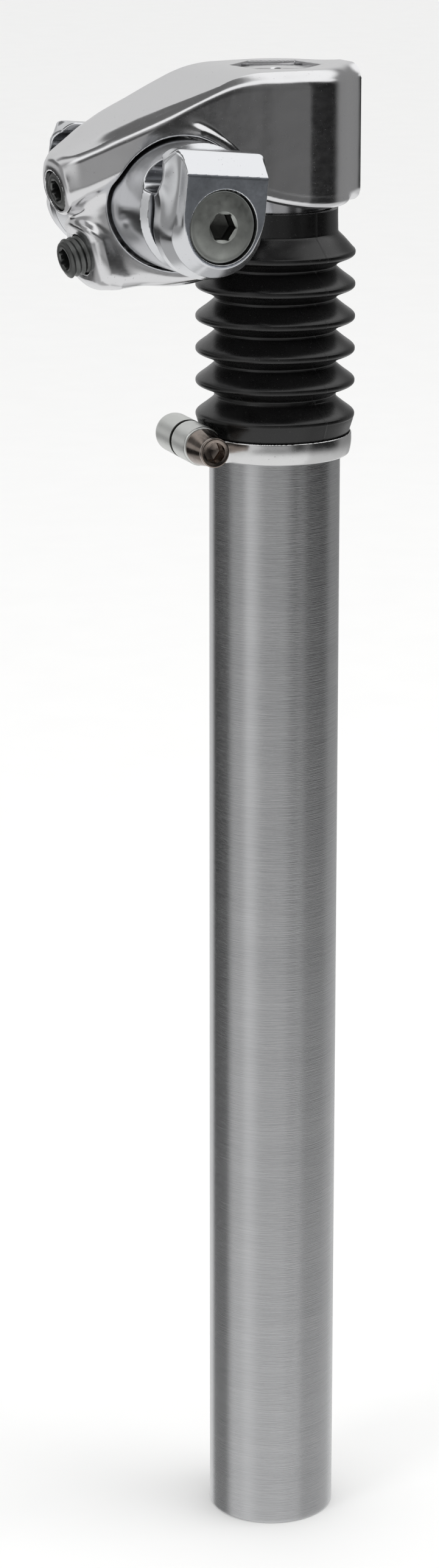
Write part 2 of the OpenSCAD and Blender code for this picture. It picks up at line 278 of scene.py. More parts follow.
def net(field, low, high, step, passes=4):
    """Vertices, faces and normals of a field's surface: a surface net, moved onto the surface."""
    axes = [np.arange(a, b + step, step) for a, b in zip(low, high)]
    value = np.broadcast_to(
        field(axes[0][:, None, None], axes[1][None, :, None], axes[2][None, None, :]),
        tuple(len(a) for a in axes),
    )
    inside = value < 0
    cells = tuple(n - 1 for n in value.shape)
    total = np.zeros((np.prod(cells), 3))
    count = np.zeros(np.prod(cells))
    rings = []
    for k in range(3):
        i, j = (k + 1) % 3, (k + 2) % 3
        start, end = [slice(None)] * 3, [slice(None)] * 3
        start[k], end[k] = slice(0, -1), slice(1, None)
        start, end = tuple(start), tuple(end)
        edge = np.argwhere(inside[start] != inside[end])
        a, b = value[start][tuple(edge.T)], value[end][tuple(edge.T)]
        point = edge.astype(float)
        point[:, k] += a / (a - b)
        ring, whole = [], np.ones(len(edge), bool)
        for di, dj in ((-1, -1), (0, -1), (0, 0), (-1, 0)):
            cell = edge.copy()
            cell[:, i] += di
            cell[:, j] += dj
            ok = (cell >= 0).all(1) & (cell < np.array(cells)).all(1)
            flat = np.ravel_multi_index(np.where(ok[:, None], cell, 0).T, cells)
            np.add.at(total, flat[ok], point[ok])
            np.add.at(count, flat[ok], 1)
            ring.append(flat)
            whole &= ok
        ring = np.stack(ring, 1)
        ring[a > b] = ring[a > b][:, ::-1]
        rings.append(ring[whole])
    used = np.flatnonzero(count)
    rank = np.full(len(count), -1)
    rank[used] = np.arange(len(used))
    points = np.array(low) + total[used] / count[used, None] * step
    faces = rank[np.concatenate(rings)]
    for _ in range(passes):
        value, slope = slope_at(field, points)
        move = value[:, None] * slope / np.maximum((slope**2).sum(1), 0.05)[:, None]
        length = np.linalg.norm(move, axis=1)
        points = points - move * np.minimum(1, 0.6 * step / np.maximum(length, 1e-9))[:, None]
    slope = slope_at(field, points)[1]
    return points, faces, slope / np.linalg.norm(slope, axis=1)[:, None]


def slope_at(field, points, h=0.02):
    """A field's value and gradient at points."""
    x, y, z = points.T
    value = field(x, y, z)
    slope = [
        (field(x + h * a, y + h * b, z + h * c) - field(x - h * a, y - h * b, z - h * c)) / (2 * h)
        for a, b, c in np.eye(3)
    ]
    return value, np.stack(slope, 1)


# ---------- materials ----------


class Nodes:
    """Short calls for a material's node tree."""

    def __init__(self, name):
        self.material = bpy.data.materials.new(name)
        self.material.use_nodes = True
        self.tree = self.material.node_tree
        self.shader = self.tree.nodes["Principled BSDF"]
        self.where = self.tree.nodes.new("ShaderNodeTexCoord").outputs["Object"]

    def new(self, kind, inputs=None, **settings):
        node = self.tree.nodes.new(kind)
        for key, value in settings.items():
            setattr(node, key, value)
        for key, value in (inputs or {}).items():
            self.give(node, key, value)
        return node

    def give(self, node, key, value):
        """Sets a socket, or links it when the value is another socket."""
        if isinstance(value, bpy.types.NodeSocket):
            self.tree.links.new(value, node.inputs[key])
        else:
            node.inputs[key].default_value = value

    def set(self, **values):
        """Sets the shader's sockets, with _ for a space in each name."""
        for key, value in values.items():
            self.give(self.shader, key.replace("_", " "), value)

    def scaled(self, scale):
        """Object coordinates stretched by a factor on each axis."""
        return self.new("ShaderNodeMapping", {"Vector": self.where, "Scale": scale}).outputs["Vector"]

    def noise(self, scale, detail=3.0, rough=0.5, stretch=None):
        at = self.scaled(stretch) if stretch else self.where
        inputs = {"Vector": at, "Scale": scale, "Detail": detail, "Roughness": rough}
        return self.new("ShaderNodeTexNoise", inputs).outputs["Fac"]

    def between(self, value, low, high, from_low=0.0, from_high=1.0):
        """The value, stretched from one range onto another and clamped."""
        inputs = {"Value": value, "From Min": from_low, "From Max": from_high, "To Min": low, "To Max": high}
        return self.new("ShaderNodeMapRange", inputs).outputs["Result"]

    def mix(self, share, a, b):
        """Colour between a and b."""
        node = self.new("ShaderNodeMix", data_type="RGBA")
        self.give(node, 0, share)
        self.give(node, 6, a)
        self.give(node, 7, b)
        return node.outputs[2]

    def math(self, operation, a, b=0.0):
        node = self.new("ShaderNodeMath", operation=operation)
        self.give(node, 0, a)
        self.give(node, 1, b)
        return node.outputs[0]

    def weighted(self, a, share_a, b, share_b):
        """Sum of two values, each times its share."""
        return self.math("ADD", self.math("MULTIPLY", a, share_a), self.math("MULTIPLY", b, share_b))

    def bump(self, height, distance, normal=None):
        inputs = {"Height": height, "Distance": distance, "Strength": 1.0}
        if normal is not None:
            inputs["Normal"] = normal
        return self.new("ShaderNodeBump", inputs).outputs["Normal"]


def polished_aluminium(name="polished_aluminium", colour=(0.80, 0.80, 0.81), low=0.15, high=0.23):
    """Buffed forging: mirror bright, slightly wavy, with a few pits and polishing marks."""
    n = Nodes(name)
    grain = n.noise(900, 4, 0.6)
    pits = n.between(n.noise(2600, 2, 0.5), 0, 1, 0.70, 0.78)
    marks = n.noise(320, 5, 0.7, stretch=(1, 1, 5))
    rough = n.between(n.weighted(grain, 0.5, marks, 0.5), low, high, 0.3, 0.7)
    n.set(Metallic=1.0)
    n.give(n.shader, "Roughness", n.math("ADD", rough, n.math("MULTIPLY", pits, 0.25)))
    n.give(n.shader, "Base Color", n.mix(pits, (*colour, 1), (*[c * 0.55 for c in colour], 1)))
    wave = n.bump(n.noise(110, 2, 0.5), 0.00012)
    n.give(n.shader, "Normal", n.bump(grain, 0.000006, normal=wave))
    return n.material


def turned_aluminium(name, axis, colour=(0.74, 0.75, 0.77)):
    """Lathe-turned surface: fine rings across the given axis."""
    n = Nodes(name)
    stretch = {"Y": (6, 260, 6), "Z": (6, 6, 260)}[axis]
    rings = n.noise(14, 3, 0.6, stretch=stretch)
    n.set(Metallic=1.0)
    n.give(n.shader, "Base Color", n.mix(rings, (*[c * 0.86 for c in colour], 1), (*colour, 1)))
    n.give(n.shader, "Roughness", n.between(rings, 0.10, 0.24))
    n.give(n.shader, "Normal", n.bump(rings, 0.000004))
    return n.material


def brushed_tube():
    """Satin tube, brushed round its axis."""
    n = Nodes("brushed_tube")
    fine = n.noise(16, 4, 0.65, stretch=(9, 9, 420))
    broad = n.noise(5, 3, 0.5, stretch=(3, 3, 26))
    blot = n.noise(28, 3, 0.5)
    n.set(Metallic=1.0)
    tone = n.weighted(fine, 0.6, broad, 0.4)
    n.give(n.shader, "Base Color", n.mix(tone, (0.44, 0.445, 0.455, 1), (0.72, 0.725, 0.73, 1)))
    n.give(n.shader, "Roughness", n.between(n.weighted(fine, 0.5, blot, 0.5), 0.16, 0.28))
    n.set(Anisotropic=0.55, Anisotropic_Rotation=0.25)
    n.give(n.shader, "Tangent", n.new("ShaderNodeTangent", direction_type="RADIAL", axis="Z").outputs[0])
    n.give(n.shader, "Normal", n.bump(fine, 0.000026, normal=n.bump(broad, 0.00002)))
    return n.material


def plated_steel(name, colour, low, high, grain_scale=1400):
    """Plated or blackened steel with a fine crystalline grain and blotches."""
    n = Nodes(name)
    grain = n.noise(grain_scale, 4, 0.65)
    blot = n.between(n.noise(200, 4, 0.65), 0, 1, 0.3, 0.7)
    n.set(Metallic=1.0)
    n.give(n.shader, "Base Color", n.mix(blot, (*[c * 0.66 for c in colour], 1), (*colour, 1)))
    n.give(n.shader, "Roughness", n.between(grain, low, high, 0.25, 0.75))
    n.give(n.shader, "Normal", n.bump(grain, 0.000012))
    return n.material


def boot_rubber():
    """Moulded rubber, satin, with faint mould texture and a little dust."""
    n = Nodes("boot_rubber")
    fine = n.noise(1500, 4, 0.6)
    blot = n.noise(160, 4, 0.6)
    dust = n.between(n.noise(3200, 2, 0.5), 0, 1, 0.70, 0.76)
    black = n.mix(blot, (0.0015, 0.0015, 0.0016, 1), (0.003, 0.0029, 0.003, 1))
    dusty = n.mix(n.math("MULTIPLY", dust, 0.35), black, (0.12, 0.12, 0.115, 1))
    n.give(n.shader, "Base Color", dusty)
    n.give(n.shader, "Roughness", n.between(n.weighted(fine, 0.4, blot, 0.6), 0.22, 0.34, 0.3, 0.7))
    n.shader.inputs["Specular IOR Level"].default_value = 0.6
    n.give(n.shader, "Normal", n.bump(fine, 0.00001, normal=n.bump(blot, 0.00004)))
    return n.material


def plain_rubber(name, colour, low=0.5, high=0.7):
    """Rubber or elastomer for seals, rings and bumpers."""
    n = Nodes(name)
    fine = n.noise(900, 3, 0.6)
    n.give(n.shader, "Base Color", n.mix(fine, (*[c * 0.75 for c in colour], 1), (*colour, 1)))
    n.give(n.shader, "Roughness", n.between(fine, low, high))
    n.give(n.shader, "Normal", n.bump(fine, 0.00003))
    return n.material


def acetal():
    """Turned white plastic with faint tool rings."""
    n = Nodes("acetal")
    rings = n.noise(12, 2, 0.5, stretch=(4, 4, 200))
    n.give(n.shader, "Base Color", n.mix(rings, (0.80, 0.79, 0.74, 1), (0.88, 0.87, 0.83, 1)))
    n.give(n.shader, "Roughness", n.between(rings, 0.32, 0.45))
    n.shader.inputs["Subsurface Weight"].default_value = 0.1
    n.shader.inputs["Subsurface Radius"].default_value = (0.002, 0.002, 0.002)
    n.give(n.shader, "Normal", n.bump(rings, 0.00001))
    return n.material


def floor_paper():
    """Pale studio paper."""
    n = Nodes("floor_paper")
    n.give(n.shader, "Base Color", n.mix(n.noise(40, 2), (0.86, 0.86, 0.855, 1), (0.885, 0.885, 0.88, 1)))
    n.set(Roughness=0.8)
    return n.material


POLISHED = polished_aluminium()
CLAMP_METAL = polished_aluminium("clamp_aluminium", (0.78, 0.79, 0.81), 0.15, 0.24)
COLLAR_METAL = polished_aluminium("collar_aluminium", (0.80, 0.80, 0.80), 0.16, 0.26)
BARREL_METAL = polished_aluminium("barrel_aluminium", (0.80, 0.815, 0.79), 0.30, 0.40)
SATIN_FACE = plated_steel("satin_aluminium", (0.54, 0.575, 0.63), 0.34, 0.46)
DRUM = turned_aluminium("turned_drum", "Y")
TUBE = brushed_tube()
BORE = turned_aluminium("turned_bore", "Z", (0.55, 0.55, 0.56))
CHROME = turned_aluminium("ground_chrome", "Z", (0.80, 0.80, 0.82))
ZINC = plated_steel("zinc_steel", (0.52, 0.54, 0.51), 0.38, 0.56, 700)
BLACK_STEEL = plated_steel("black_steel", (0.19, 0.195, 0.19), 0.30, 0.48)
# painted shade: near-black steel colour given to the collar's slit and the sockets of the bolt and nut
PAINTED_SHADE_STEEL = plated_steel("painted_shade_steel", (0.12, 0.122, 0.115), 0.30, 0.45)
DARK_NICKEL = plated_steel("dark_nickel", (0.40, 0.34, 0.30), 0.10, 0.22)
BARREL_STEEL = plated_steel("barrel_steel", (0.42, 0.43, 0.45), 0.2, 0.35)
SPRING_STEEL = plated_steel("spring_steel", (0.26, 0.28, 0.30), 0.28, 0.45)
BRASS = plated_steel("key_brass", (0.74, 0.56, 0.24), 0.18, 0.32)
BOOT = boot_rubber()
SEAL = plain_rubber("seal_rubber", (0.03, 0.03, 0.03))
ELASTOMER = plain_rubber("elastomer", (0.72, 0.50, 0.08), 0.35, 0.5)
PLASTIC = acetal()


# ---------- post: tube, collar, boot ----------


def outer_tube():
    """The tube, with small chamfers at both ends."""
    bevel = TUBE_BEVEL
    profile = [
        (TUBE_BORE_R, TUBE_LEN - bevel),
        (TUBE_BORE_R + bevel, TUBE_LEN),
        (COLLAR_SEAT_R - bevel / 2, TUBE_LEN),
        (COLLAR_SEAT_R, TUBE_LEN - bevel / 2),
        (COLLAR_SEAT_R, COLLAR_LOW),
        (TUBE_R - 0.1, COLLAR_LOW),
        (TUBE_R, COLLAR_LOW - 0.1),
        *[(TUBE_R, z) for z in np.linspace(COLLAR_LOW - 4, bevel + 0.3, 40)],
        *arc((TUBE_R - bevel, bevel), bevel, 0, -90, 6),
        (TUBE_BORE_R + bevel, 0),
        (TUBE_BORE_R, bevel),
        *[(TUBE_BORE_R, z) for z in np.linspace(bevel + 2, TUBE_LEN - 4, 20)],
        (TUBE_BORE_R, TUBE_LEN - bevel),
    ]
    vertices, faces = lathe(profile, 256)
    piece = add_mesh("outer_tube_finish", vertices, flipped(faces), TUBE, sharp_deg=35)
    return place(piece, "post", "tube_aluminium", "outer_tube")


def collar_field(x, y, z):
    """The split pinch collar and its cross barrel, in the collar's own turned axes."""
    outer, recess_z, recess_r, lip_r = 15.9, 241.7, 15.5, 16.9
    crown_z, crown_r = 241.6, 10.0
    r = np.hypot(x, y)
    over_middle = np.abs(z - (COLLAR_LOW + COLLAR_TOP) / 2) - (COLLAR_TOP - COLLAR_LOW) / 2
    crown = (z - crown_z) ** 2 / (2 * crown_r)
    ring = round_and(r - outer + crown, over_middle, 0.4)
    about_barrel = np.hypot(x - BARREL_X, z - BARREL_Z)
    barrel = round_and(about_barrel - BARREL_R, BARREL_NEAR_Y - y, 0.5)
    barrel = round_and(barrel, y - BARREL_FAR_Y, 2.6)
    neck = np.maximum(np.abs(x - BARREL_X - 2.5) - 2.5, np.abs(y - 0.8) - 8.0)
    neck = np.maximum(neck, over_middle + 0.3)
    body = soft_or(soft_or(ring, barrel, 1.2), neck, 1.5)
    body = np.maximum(body, COLLAR_LOW - z)
    body = cut(body, np.maximum(r - lip_r, COLLAR_TOP - z), 0.2)
    body = cut(body, np.maximum(r - recess_r, recess_z - z), 0.2)
    body = cut(body, r - COLLAR_SEAT_R - 0.02, 0.25)
    body = cut(body, np.maximum(np.abs(y) - COLLAR_SLIT / 2, x + 10), 0.15)
    return cut(body, np.maximum(about_barrel - 2.05, y - BARREL_FAR_Y + 2.5), 0.2)


def pinch_collar():
    """Collar that closes the tube's mouth on the guide bush: satin on its barrel, with painted shade on the
    walls of its slit.
    """
    low, high = (-24.0, -17.0, 237.6), (17.0, 17.0, 247.2)
    points, faces, normals = net(collar_field, low, high, 0.24)
    turned = normals @ COLLAR_TURN[:3, :3].T
    piece = add_mesh("pinch_collar_finish", moved(points, COLLAR_TURN), faces, COLLAR_METAL, normals=turned)
    piece.data.materials.append(BARREL_METAL)
    piece.data.materials.append(PAINTED_SHADE_STEEL)
    x, y, z = points[faces].mean(1).T
    on_barrel = np.hypot(x - BARREL_X, z - BARREL_Z) < BARREL_R + 0.05
    # painted shade: the slit's walls take the near-black steel colour
    slit_shade = (np.abs(y) < COLLAR_SLIT / 2 + 0.13) & (x < -10)
    piece.data.polygons.foreach_set("material_index", np.where(slit_shade, 2, on_barrel).astype(np.int32))
    return place(piece, "post", "polished_aluminium", "pinch_collar")


def collar_screw():
    """Pinch screw: a cone with a raised rim round its hexagon socket."""
    flat, depth, face = 2.0, 3.6, 7.2
    profile = [
        (0, face - depth - 0.5),
        (flat * 0.98, face - depth),
        *[(flat, z) for z in np.linspace(face - depth + 0.1, face - 0.35, 4)],
        (flat + 0.14, face - 0.12),
        (2.72, face),
        *arc((2.85, face - 0.22), 0.22, 90, 0, 4),
        (3.07, face - 0.7),
        *arc((2.86, face - 0.98), 0.2, 0, -80, 3),
        (2.82, face - 1.25),
        *arc((2.92, face - 1.45), 0.2, 100, 160, 3)[::-1],
        (3.15, 5.0),
        (3.72, 1.2),
        *arc((3.35, 0.55), 0.45, 20, -60, 5),
        (2.0, 0.0),
        (2.0, -15.5),
        (1.6, -16.0),
        (0, -16.0),
    ]
    vertices, faces = lathe(profile, 96, socket_shape(face - depth - 0.6, flat + 0.01, 0.4))
    # Z of the screw runs out along the barrel, to the right
    axes = frame_matrix((BARREL_X, BARREL_NEAR_Y, BARREL_Z), (1, 0, 0), (0, 0, 1), (0, -1, 0))
    vertices = moved(moved(vertices, axes), COLLAR_TURN)
    piece = add_mesh("collar_screw_finish", vertices, faces, DARK_NICKEL, sharp_deg=40)
    return place(piece, "collar_screw", "nickel_steel", "collar_screw")


def boot_outline(inset):
    """Outside of the bellows from its neck to its last ring, moved inwards by inset."""
    neck, ring, valley = BOOT_NECK_R - inset, RING_R - inset, VALLEY_R - inset
    points = [(neck, BOOT_HIGH), (neck, 287.4), (neck + 0.04, 285.4), (neck + 0.06, 284.6)]
    points += [(neck + 0.16, 284.3)]
    for z in RING_Z:
        if z == RING_Z[0]:
            points += [(neck + 0.45, z + 3.65), (ring - 2.05, z + 2.5)]
        else:
            points += [(valley + 0.25, z + 3.2), (ring - 2.15, z + 2.0)]
        points += [(ring - 0.6, z + 0.85), (ring - 0.1, z + 0.32), (ring, z - 0.12)]
        points += [(ring - 0.12, z - 0.6), (ring - 0.7, z - 1.05)]
        if z != RING_Z[-1]:
            points += [(ring - 2.45, z - 1.75), (valley + 0.2, z - 2.5), (valley, z - VALLEY_DROP)]
    return points


def rubber_boot():
    """Bellows in two pieces that meet in the valley under the top ring. The cuff moves with the
    head, so the top ring keeps clear of it."""
    outside = curve_through(boot_outline(0), 7)[:-5]
    # under the last ring the side runs down smoothly into the collar's recess
    outside += curve_through([(16.33, 246.1), (16.15, 245.4), (15.8, 244.3), (15.45, 243.2)], 6)
    inside = curve_through(boot_outline(BOOT_WALL), 4)
    valley = RING_Z[0] - VALLEY_DROP
    seam_angle, seam_width, seam_height = math.radians(-78.5), 0.011, 0.13
    hair = 0.001

    def seam(r, z, angle):
        ridge = sum(
            np.exp(-(((angle - seam_angle - k * np.pi + np.pi) % (2 * np.pi) - np.pi) / seam_width) ** 2)
            for k in (0, 1)
        )
        in_view = (r > VALLEY_R - 0.05) & (z > COLLAR_TOP + 0.3)
        return r + np.where(in_view, ridge * seam_height, 0)

    def part(name, low, high, foot):
        outer = [q for q in outside if low - hair < q[1] < high + hair]
        inner = [q for q in inside if low - hair < q[1] < high + hair]
        profile = outer + foot + inner[::-1]
        vertices, faces = lathe(profile + profile[:1], 540, seam)
        return add_mesh(name, vertices, flipped(faces), BOOT, sharp_deg=55)

    cuff = part("boot_cuff", valley, BOOT_HIGH, [])
    place(cuff, "slider", "boot_rubber")
    foot = [(15.3, 242.9), (15.25, BOOT_LOW), (13.3, BOOT_LOW), (13.3, 245.3)]
    bellows = part("boot_bellows", BOOT_LOW, valley, foot)
    place(bellows, "post", "boot_rubber", "rubber_boot")
    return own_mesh(bellows)


def main_spring():
    """Coil spring with closed and ground ends."""
    wire, mean, coils, sides, per_turn = 1.8, 8.6, 11, 14, 48
    rise = SPRING_HIGH - SPRING_LOW - 2 * wire
    turns = coils + 2
    closed = 2 * wire * 1.02
    pitch = (rise - 2 * closed) / coils
    turn = np.linspace(0, turns, turns * per_turn + 1)
    climb = np.interp(turn, [0, 1, turns - 1, turns], [0, closed, closed + coils * pitch, rise])
    angle = turn * 2 * np.pi
    around = np.linspace(0, 2 * np.pi, sides, endpoint=False)
    radius = mean + wire * np.cos(around)[None, :]
    x = radius * np.cos(angle)[:, None]
    y = radius * np.sin(angle)[:, None]
    z = SPRING_LOW + wire + climb[:, None] + wire * np.sin(around)[None, :]
    vertices = np.stack([x, y, z], -1).reshape(-1, 3)
    rows = len(turn)
    faces = [
        (i * sides + j, (i + 1) * sides + j, (i + 1) * sides + (j + 1) % sides, i * sides + (j + 1) % sides)
        for i in range(rows - 1)
        for j in range(sides)
    ]
    faces += [list(range(sides)), [(rows - 1) * sides + j for j in reversed(range(sides))]]
    piece = add_mesh("main_spring_coil", vertices, flipped(faces), SPRING_STEEL, sharp_deg=60)
    place(piece, "post", "spring_steel", "main_spring")
    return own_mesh(piece)


# ---------- head ----------


def screw_axes(x, z):
    """Distance out along the tilt screws, and distance over the tilt axis square to them."""
    dx, dz = x - TILT_X, z - TILT_Z
    c, s = math.cos(SCREW_ANGLE), math.sin(SCREW_ANGLE)
    return -dx * c - dz * s, -dx * s + dz * c


def front_and_sides(x, side):
    """Plan of the head's front: a circle, then slightly crowned sides that leave it at a tangent."""
    taper, crown_r = math.radians(3.2), 400.0
    c, s = math.cos(taper), math.sin(taper)
    behind = -(x * c + side * s)
    flat = side * c - x * s + behind**2 / (2 * crown_r)
    return np.where(behind > 0, flat, np.hypot(x, side)) - HEAD_R


def head_field(x, y, z):
    """Solid of the forged head."""
    s, t = screw_axes(x, z)
    side = np.abs(y)
    about_tilt = np.hypot(x - TILT_X, z - TILT_Z)

    # plans: the lower body narrows to the bosses behind, less at its foot; the arm over it stays wide
    front = front_and_sides(x, side)
    corner_r = 5.0
    hollow = 1.3 * ease((t + 12) / 9)
    body_plan = round_and(front, plane(x, side, (-26.5, 13.4), 114) + hollow, corner_r)
    body_plan = soft_or(body_plan, side - 5.9, 5.0)
    arm_plan = round_and(front, plane(x, side, (-42.8, 10.8), 128), corner_r)
    arm_plan = round_and(arm_plan, s - 20.0, 3.0)

    # top surface: flat, then sloping down to the rear
    slope_normal = 90 + 24
    top = soft_and(z - HEAD_TOP, plane(x, z, (-14.1, HEAD_TOP), slope_normal), 2.4)
    edge_r = 3.6 - 2.0 * ease((-6 - x) / 20)

    # front column round the stanchion, its underside rising a little to the rear
    underside = HEAD_BOTTOM + 0.1 + 0.010 * np.maximum(6.0 - x, 0) ** 2
    column = np.maximum(underside - z, -24 - x)

    # arm: a slab under the sloping top surface
    under = np.minimum(-plane(x, z, (-16.0, 309.4), slope_normal), column)
    slab = round_and(arm_plan, under, 1.4)
    slab = round_and(slab, top, edge_r)

    # lower body: housing of the tilt clamp, lobe of the lower screw, and the web up to the arm
    housing = about_tilt - 16.2
    lobe = polygon_field(s, t, [(-2, -1), (17.4, -1), (18.2, -3), (18.2, -12.2), (14, -14.3), (-2, -15.6)])
    web = polygon_field(x, z, [(-14, 291), (-10, 291), (-10, 330), (-44, 312), (-40, 301), (-36, 288)])
    outline = soft_or(soft_or(housing, column, 3.0), np.minimum(lobe - 0.2, web), 2.0)
    body = round_and(body_plan, outline, 3.0)
    body = round_and(body, top, edge_r)

    # bosses of the two tilt screws
    lower_end, upper_end = 18.4, 21.0
    upper = round_and(np.hypot(y, t - SCREW_T) - 5.0, s - upper_end, 1.1)
    lower = round_and(np.hypot(y, t + 7.4) - 6.3, s - lower_end, 1.6)
    body = soft_or(body, np.maximum(upper, 2 - s), 4.0)
    body = soft_or(body, np.maximum(lower, 2 - s), 4.5)

    # raised ring round the clamp bore, its face falling away to the rear
    rim = side - np.minimum(12.9 + 0.53 * (x + 27.0), 14.2)
    ring = round_and(about_tilt - 15.6, rim, 1.2)
    body = soft_or(body, ring, 2.4)
    # the arm's blend grows from its root, where both share one side surface
    body = soft_or(body, slab, 0.1 + 4.6 * np.clip((-19 - x) / 16, 0, 1))
    end = lower_end + (upper_end - lower_end) * ease((t + 4) / 7)
    body = round_and(body, s - end, 1.0 + 1.6 * ease(-t / 4))
    body = np.maximum(np.maximum(body, z - HEAD_TOP), HEAD_REAR + 0.03 - x)

    # bores, and the relief round the boot's neck
    body = cut(body, np.maximum(np.hypot(x, y) - BOOT_NECK_R - 0.15, z - BOOT_HIGH - 0.15), 0.3)
    body = cut(body, np.maximum(about_tilt - CLAMP_BORE_R, 5.2 - side), 0.55)
    body = cut(body, about_tilt - 9.5, 0.3)
    body = cut(body, np.maximum(np.hypot(x, y) - STANCHION_R, z - 311), 0.6)
    body = cut(body, hexagon_recess(x, y, z), 0.28)
    for screw_t in (SCREW_T, -SCREW_T):
        body = cut(body, np.maximum(np.hypot(y, t - screw_t) - 4.15, 4.5 - s), 0.3)
    return body


def hexagon_recess(x, y, z):
    """Hexagonal recess in the head's top, and the hole under it."""
    flat, depth, turn = 8.1, 2.2, math.radians(-22)
    angles = [turn + math.radians(30 + 60 * k) for k in range(3)]
    sides = [np.abs(x * math.cos(a) + y * math.sin(a)) - flat for a in angles]
    prism = np.maximum(np.maximum(sides[0], sides[1]), sides[2])
    recess = np.maximum(prism, HEAD_TOP - depth - z)
    hole = np.maximum(np.hypot(x, y) - 5.0, 310 - z)
    return np.minimum(recess, hole)


def head():
    """The forged head, as one smooth mesh."""
    low, high = (-53.0, -16.2, 272.6), (16.2, 16.2, 319.0)
    step = 0.34
    points, faces, normals = net(head_field, low, high, step)
    piece = add_mesh("head_forging", points, faces, POLISHED, normals=normals)
    return place(piece, "slider", "polished_aluminium", "head")


def crown_plug():
    """Disc that closes the recess in the head's top."""
    top, r = HEAD_TOP - 0.75, 7.75
    profile = [
        (0, top - 0.75),
        (0.9, top - 0.75),
        (1.2, top - 0.25),
        (1.6, top),
        *arc((r - 0.35, top - 0.35), 0.35, 90, 0, 5),
        (r, HEAD_TOP - 2.2),
        (5.0, HEAD_TOP - 2.2),
        (5.0, 311.8),
        (4.7, 311.5),
        (0, 311.5),
    ]
    vertices, faces = lathe(profile, 128)
    piece = add_mesh("crown_plug_finish", vertices, faces, POLISHED, sharp_deg=40)
    return place(piece, "slider", "polished_aluminium", "crown_plug")


# ---------- saddle clamp ----------


def clamp_axes(x, z, raised=0.0):
    """Along the rails and square to them, from the tilt axis, or from a point raised over it."""
    dx, dz = x - TILT_X, z - TILT_Z
    c, s = math.cos(CLAMP_TILT), math.sin(CLAMP_TILT)
    return dx * c - dz * s, dx * s + dz * c - raised


def outer_clamp_field(side):
    """Solid of one outer clamp: a bevelled block round the bolt, with a wider lip over the rail."""

    def field(x, y, z):
        a, c = clamp_axes(x, z, BOLT_C)
        v = y * side
        # half-width: bevelled round the lower half of the face, and a wider lip round the rail
        behind = ease((28.8 - v) / 4.2)
        upper = 9.0 + (2.0 + 1.3 * np.exp(-(((c - 8.0) / 3.4) ** 2))) * behind
        lower = np.interp(v, [25.0, 28.6, 31.3], [11.1, 10.2, 8.0])
        half = lower + (upper - lower) * ease((c + 3.5) / 6)
        shape = np.hypot(a, np.minimum(c, 0)) - half
        shape = round_and(shape, c - 14.3, 0.8 + 3.2 * ease((27.6 - v) / 3.0))
        # two bevels, from the face up to the top
        shape = round_and(shape, plane(v, c, (31.3, 9.9), 40), 0.25)
        shape = round_and(shape, plane(v, c, (29.0, 12.6), 51.7), 0.5)
        shape = round_and(shape, v - CLAMP_FACE_Y, 0.3)
        shape = round_and(shape, 22.4 - v, 0.5)
        bolt = np.hypot(a, c)
        shape = cut(shape, np.maximum(bolt - 7.35, 27 - v), 0.16)
        shape = cut(shape, bolt - BOLT_HOLE_R[side], 0.2)
        return cut(shape, np.hypot(v - RAIL_Y, c - RAIL_C + BOLT_C) - RAIL_R, 0.7)

    return field


def outer_clamp(side, body):
    """One outer clamp, polished, with a satin face."""
    step = 0.24
    ys = sorted([22.0 * side, (CLAMP_FACE_Y + 0.4) * side])
    low, high = (-43.0, ys[0], 276.5), (-13.0, ys[1], 308.0)
    points, faces, normals = net(outer_clamp_field(side), low, high, step)
    name = "outer_clamp_left" if side == LEFT else "outer_clamp_right"
    piece = add_mesh(name + "_finish", points, faces, CLAMP_METAL, normals=normals)
    piece.data.materials.append(SATIN_FACE)
    out, facing = points[faces].mean(1)[:, 1] * side, normals[faces].mean(1)[:, 1] * side
    satin = (facing > 0.9) & (out > CLAMP_FACE_Y - 0.3)
    piece.data.polygons.foreach_set("material_index", satin.astype(np.int32))
    return place(piece, body, "clamp_aluminium", name)


def inner_clamp_field(side):
    """Solid of one inner clamp: a drum with the inner half of the rail groove."""

    def field(x, y, z):
        a, c = clamp_axes(x, z)
        v = y * side
        r, end = np.hypot(a, c), 21.6
        drum = round_and(r - DRUM_R, 5.6 - v, 0.4)
        drum = round_and(drum, v - end, 0.35)
        # bevel that leads the drum's edge down to the outer clamp
        drum = np.maximum(drum, plane(r, v, (11.9, end), 36.87))
        pocket = np.maximum(np.maximum(np.abs(a), np.abs(c)) - 5.53, v - 9.05)
        drum = cut(drum, pocket, 0.2)
        drum = cut(drum, np.hypot(a, c - BOLT_C) - BOLT_HOLE_R[side], 0.2)
        return cut(drum, np.hypot(v - RAIL_Y, c - RAIL_C) - RAIL_R, 0.3)

    return field


def inner_clamp(side):
    """One inner clamp, turned, with a polished outer end."""
    step = 0.27
    ys = sorted([5.2 * side, 22.1 * side])
    low, high = (-42.0, ys[0], 279.0), (-14.0, ys[1], 307.0)
    points, faces, normals = net(inner_clamp_field(side), low, high, step)
    name = "inner_clamp_left" if side == LEFT else "inner_clamp_right"
    piece = add_mesh(name + "_finish", points, faces, DRUM, normals=normals)
    piece.data.materials.append(CLAMP_METAL)
    middle = points[faces].mean(1)
    a, c = clamp_axes(middle[:, 0], middle[:, 2])
    turned = (np.abs(np.hypot(a, c) - DRUM_R) < 0.05) & (middle[:, 1] * side < 20.6)
    piece.data.polygons.foreach_set("material_index", (~turned).astype(np.int32))
    return place(piece, "clamp", "clamp_aluminium", name)


def bolt_matrix(side):
    """Axes of the clamp bolt: Z runs out through the clamp on one side, from the post's middle."""
    c, s = math.cos(CLAMP_TILT), math.sin(CLAMP_TILT)
    along, up = np.array([c, 0, -s]), np.array([s, 0, c])
    first, second = (up, along) if side == LEFT else (along, up)
    return frame_matrix(np.array([TILT_X, 0, TILT_Z]) + BOLT_C * up, first, second, (0, side, 0))


